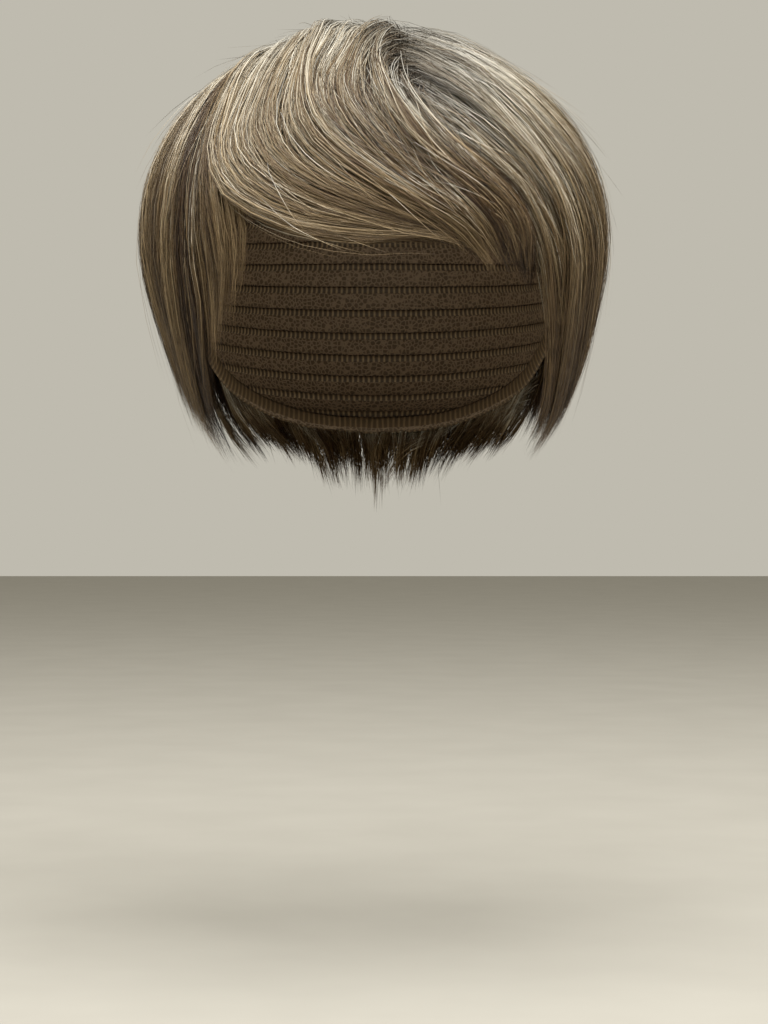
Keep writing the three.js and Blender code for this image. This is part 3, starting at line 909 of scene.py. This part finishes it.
# %% Hair of the back
BACK_HAIR = {
    "locks": 32, "wisps": 5, "across": (-0.11, 1.11), "root_scatter": 2.5, "lengths": (0.5, 0.95),
    "ragged": 0.018,
    "hem": [(0.0, 0.84, 0.99, 1.0, 0.0), (1.0, 0.84, 0.99, 1.0, 0.0)],
    "gather": 0.45, "close": 0.55, "ridge": 3.4, "tuck": 4.0, "edge_drop": 0.0, "lock_tone": 0.17,
    "thickness": (0.16, 0.3),
    "layers": {
        "top": {"fibres": 5800, "points": 13, "roots": (0.0, 0.35), "root_bias": 2.0, "seed": 41,
                "cover": 0.75, "loose": 0.02, "tone": 0.58},
        "under": {"fibres": 2400, "points": 10, "roots": (0.15, 0.7), "root_bias": 1.0, "seed": 42,
                  "cover": 0.0, "loose": 0.0, "tone": 0.26},
        "loose": loose_layer(0.75, 0.7, 43),
    },
}
add_section("back_hair", BACK_HAIR)

# %% [markdown]
# The nape is a short layer under the back. It is rooted low on the cap, and it hardly gathers, so that
# its tips make a soft edge. The back covers it from above, so it has no layer of loose fibres.

# %% Hair of the nape
NAPE_HAIR = {
    "locks": 24, "wisps": 5, "across": (-0.08, 1.08), "root_scatter": 0.8, "lengths": (0.25, 0.6),
    "ragged": 0.014,
    "hem": [(0.0, 0.91, 0.99, 1.0, 0.0), (1.0, 0.91, 0.99, 1.0, 0.0)],
    "gather": 0.1, "close": 0.3, "ridge": 1.5, "tuck": 0.0, "edge_drop": 0.0, "lock_tone": 0.14,
    "thickness": (0.16, 0.3),
    "layers": {
        # Both layers are painted paler than the back's: painted light for the hair seen in the cap's shade
        # from the front
        "top": {"fibres": 3000, "points": 10, "roots": (0.5, 0.65), "root_bias": 1.0, "seed": 53,
                "cover": 0.5, "loose": 0.03, "tone": 0.6},
        "under": {"fibres": 2700, "points": 10, "roots": (0.6, 0.8), "root_bias": 1.0, "seed": 54,
                  "cover": 0.0, "loose": 0.0, "tone": 0.5},
    },
}
add_section("nape_hair", NAPE_HAIR)

# %% [markdown]
# The cap is a stretch net, knitted from fine nylon and cut with a tab and an arch at each ear. It is a
# thin shell with an inside and an outside, so it is made of two skins that meet at the rim. The holes
# are drawn by the material: as geometry they would take millions of faces.

# %% Cap net
CAP_EDGE = [  # azimuth and polar from the front to the back, the same on both sides
    (0, 60), (35, 64), (56, 80), (74, 103), (96, 90), (128, 110), (155, 119), (180, 121),
]
NET_COLUMNS = 120
NET_ROWS = 24
NET_INSIDE = 0.9 * MM
edge_curve = smooth_curve(*np.array(CAP_EDGE, float).T)


def cap_edge(azimuth):
    """How far down the cap reaches, in degrees of polar."""
    return edge_curve(np.abs((azimuth + 180) % 360 - 180))


def smooth_mesh(name, vertices, faces):
    """A mesh with smooth shading."""
    mesh = bpy.data.meshes.new(name)
    mesh.from_pydata(vertices, [], faces)
    mesh.polygons.foreach_set("use_smooth", np.ones(len(mesh.polygons), bool))
    return mesh


def cap_net():
    """The net's shell: an inner skin, an outer skin and the rim between them."""
    azimuth = np.arange(NET_COLUMNS) * 360 / NET_COLUMNS
    polar = np.arange(1, NET_ROWS + 1)[:, None] / NET_ROWS * cap_edge(azimuth)
    vertices = []
    for depth in (NET_INSIDE, CAP_WALL):
        vertices.append(place_at(0.0, 0.0, cap_radius(0.0, 0.0) + depth))
        radius = cap_radius(azimuth, polar) + depth
        vertices.extend(place_at(azimuth + 0 * polar, polar, radius).reshape(-1, 3))
    skin = 1 + NET_ROWS * NET_COLUMNS
    rim = 1 + (NET_ROWS - 1) * NET_COLUMNS
    faces = []
    for c in range(NET_COLUMNS):
        d = (c + 1) % NET_COLUMNS
        faces.append((0, 1 + d, 1 + c))
        faces.append((skin, skin + 1 + c, skin + 1 + d))
        for r in range(NET_ROWS - 1):
            a, b = 1 + r * NET_COLUMNS, 1 + (r + 1) * NET_COLUMNS
            faces.append((a + c, a + d, b + d, b + c))
            faces.append((skin + a + c, skin + b + c, skin + b + d, skin + a + d))
        faces.append((rim + c, rim + d, skin + rim + d, skin + rim + c))
    return smooth_mesh("cap_net", np.array(vertices).tolist(), faces)


net = cap_net()
print("faces of the net:", len(net.polygons))

# %% [markdown]
# Knitted nylon is matt, and its threads stand a little over the holes between them. A cell pattern gives
# both: the distance to the edge of a cell tells thread from hole, for the colour and for a low relief.

# %% Nylon stretch net
NET_CELL = 1.9 * MM     # a real net has cells of less than 1 mm: drawn coarser, so that they show
THREAD_RISE = 0.25 * MM


def nylon_stretch_net():
    """Fine knitted net: the eye sees brown threads round small darker holes, without gloss."""
    material, tree = new_material("nylon_stretch_net")
    spot = add_node(tree, "ShaderNodeTexCoord")
    cells = add_node(tree, "ShaderNodeTexVoronoi",
                     {"feature": "DISTANCE_TO_EDGE", "Scale": 1 / NET_CELL, "Randomness": 0.8},
                     {"Vector": spot.outputs["Object"]})
    thread = add_node(tree, "ShaderNodeValToRGB", {"ramp": [(0.06, "#84705a"), (0.2, "#564632")]},
                      {"Fac": cells.outputs["Distance"]})
    height = add_node(tree, "ShaderNodeMapRange",
                      {"From Min": 0.05, "From Max": 0.25, "To Min": 1.0, "To Max": 0.0},
                      {"Value": cells.outputs["Distance"]})
    relief = add_node(tree, "ShaderNodeBump", {"Strength": 0.6, "Distance": THREAD_RISE},
                      {"Height": height.outputs["Result"]})
    finish_material(tree, {"Roughness": 0.7},
                    {"Base Color": thread.outputs["Color"], "Normal": relief.outputs["Normal"]})
    return material


add_piece("cap_net", net, nylon_stretch_net(), "cap")
print("net cell in mm:", NET_CELL / MM)

# %% [markdown]
# Inside the net run the weft rows: hair is folded over threads on a machine and the flat braid is sewn
# round the cap, row under row. The edge of the cap is bound with an elastic tape. Both are flat bands
# that follow the cap, so one function sweeps a flat oval along a line. A curve object with a bevel could
# do that too, but it would not turn the band's flat side to the cap at every point.

# %% Bands along the cap
BAND_SIDES = 8


def band_mesh(name, lines):
    """Flat closed bands along lines over the cap. A line has azimuths and polars, the height of the
    band's middle over the inside of the cap, its half width and half thickness, and whether it is a
    whole loop."""
    vertices, faces, lengths = [], [], []
    turn = np.arange(BAND_SIDES) * FULL_TURN / BAND_SIDES
    for azimuth, polar, middle, half_width, half_thick, is_loop in lines:
        path = place_at(azimuth, polar, cap_radius(azimuth, polar) + middle)
        ahead = np.gradient(path, axis=0)
        if is_loop:
            ahead = np.roll(path, -1, axis=0) - np.roll(path, 1, axis=0)
        down = unit(np.cross(unit(path - CAP_MIDDLE), unit(ahead)))
        outward = unit(np.cross(unit(ahead), down))
        ring = (path[:, None] + half_width * np.cos(turn)[:, None] * down[:, None]
                + half_thick * np.sin(turn)[:, None] * outward[:, None])
        first, count = len(vertices), len(path)
        vertices.extend(ring.reshape(-1, 3).tolist())
        steps = np.linalg.norm(np.diff(path, axis=0), axis=1)
        lengths.extend(np.repeat(np.append(0, np.cumsum(steps)), BAND_SIDES).tolist())
        for i in range(count if is_loop else count - 1):
            a, b = first + i * BAND_SIDES, first + (i + 1) % count * BAND_SIDES
            for k in range(BAND_SIDES):
                m = (k + 1) % BAND_SIDES
                faces.append((a + k, b + k, b + m, a + m))
        if not is_loop:
            last = first + (count - 1) * BAND_SIDES
            faces.append(tuple(first + k for k in range(BAND_SIDES)))
            faces.append(tuple(last + k for k in reversed(range(BAND_SIDES))))
    mesh = smooth_mesh(name, vertices, faces)
    mesh.attributes.new("length", "FLOAT", "POINT").data.foreach_set("value", np.array(lengths, np.float32))
    return mesh


print("sides of a band:", BAND_SIDES)

# %% [markdown]
# Both bands are sewn through: a darker ground with a paler thread that stands out at every stitch. The
# length along the band, which its mesh carries, gives the rhythm, so that stitches never stretch.

# %% Sewn bands
STITCH_LENGTH = 2.4 * MM
STITCH_RISE = 0.3 * MM


def sewn_band(name, ground, stitch):
    """Woven band with a row of stitches: the eye sees an even, matt rhythm of light and dark."""
    material, tree = new_material(name)
    length = add_node(tree, "ShaderNodeAttribute", {"attribute_name": "length"})
    turns = add_node(tree, "ShaderNodeMath", {"operation": "MULTIPLY", 1: FULL_TURN / STITCH_LENGTH},
                     {0: length.outputs["Fac"]})
    wave = add_node(tree, "ShaderNodeMath", {"operation": "SINE"}, {0: turns.outputs["Value"]})
    thread = add_node(tree, "ShaderNodeMapRange", {"From Min": -0.2, "From Max": 0.8},
                      {"Value": wave.outputs["Value"]})
    colour = add_node(tree, "ShaderNodeValToRGB", {"ramp": [(0, ground), (1, stitch)]},
                      {"Fac": thread.outputs["Result"]})
    relief = add_node(tree, "ShaderNodeBump", {"Strength": 0.7, "Distance": STITCH_RISE},
                      {"Height": thread.outputs["Result"]})
    finish_material(tree, {"Roughness": 0.65},
                    {"Base Color": colour.outputs["Color"], "Normal": relief.outputs["Normal"]})
    return material


print("stitches on 100 mm:", round(100 * MM / STITCH_LENGTH))

# %% [markdown]
# A weft row is a polyester braid, sewn on level. High rows go all the way round, and lower ones stop
# where the cap's edge cuts them off, so a row there becomes two or more stretches.

# %% Weft rows
FIRST_ROW = 18.0         # degrees of polar
WEFT_STEP = 6.0          # degrees of polar between rows, about 10 mm
WEFT_TURN = 4.0          # degrees of azimuth between the points of a row
SHORTEST_ROW = 6         # points
EDGE_CLEAR = 4.0         # degrees of polar that a row stays above the edge
WEFT_BAND = (0.55 * MM, 1.5 * MM, 0.45 * MM)  # height of its middle, half width, half thickness


def weft_lines():
    """One line for each row, or for each stretch of a row that the cap's edge leaves."""
    lines = []
    azimuth = np.arange(0, 360, WEFT_TURN)
    lowest = cap_edge(azimuth) - EDGE_CLEAR
    for polar in np.arange(FIRST_ROW, lowest.max(), WEFT_STEP):
        inside = lowest > polar
        if inside.all():
            lines.append((azimuth, 0 * azimuth + polar, *WEFT_BAND, True))
            continue
        for start in np.flatnonzero(inside & ~np.roll(inside, 1)):
            run = np.argmin(np.roll(inside, -start))
            if run >= SHORTEST_ROW:
                row = azimuth[start] + np.arange(run) * WEFT_TURN
                lines.append((row, 0 * row + polar, *WEFT_BAND, False))
    return lines


weft_rows = weft_lines()
add_piece("cap_weft_rows", band_mesh("cap_weft_rows", weft_rows),
          sewn_band("sewn_polyester_weft", "#453726", "#8d785b"), "cap")
print("weft rows and part rows:", len(weft_rows))

# %% [markdown]
# The elastic tape is woven, and binds the edge in one loop round the front, the ear tabs and the nape.

# %% Edge tape
TAPE_TURN = 1.5          # degrees of azimuth between the points of the tape
TAPE_UP = 2.4            # degrees of polar from the cap's edge to the tape's middle
TAPE_BAND = (0.95 * MM, 4.2 * MM, 0.8 * MM)

around = np.arange(0, 360, TAPE_TURN)
tape = [(around, cap_edge(around) - TAPE_UP, *TAPE_BAND, True)]
add_piece("cap_edge_tape", band_mesh("cap_edge_tape", tape),
          sewn_band("woven_elastic_tape", "#54442f", "#7c674b"), "cap")
print("points round the edge:", len(around))
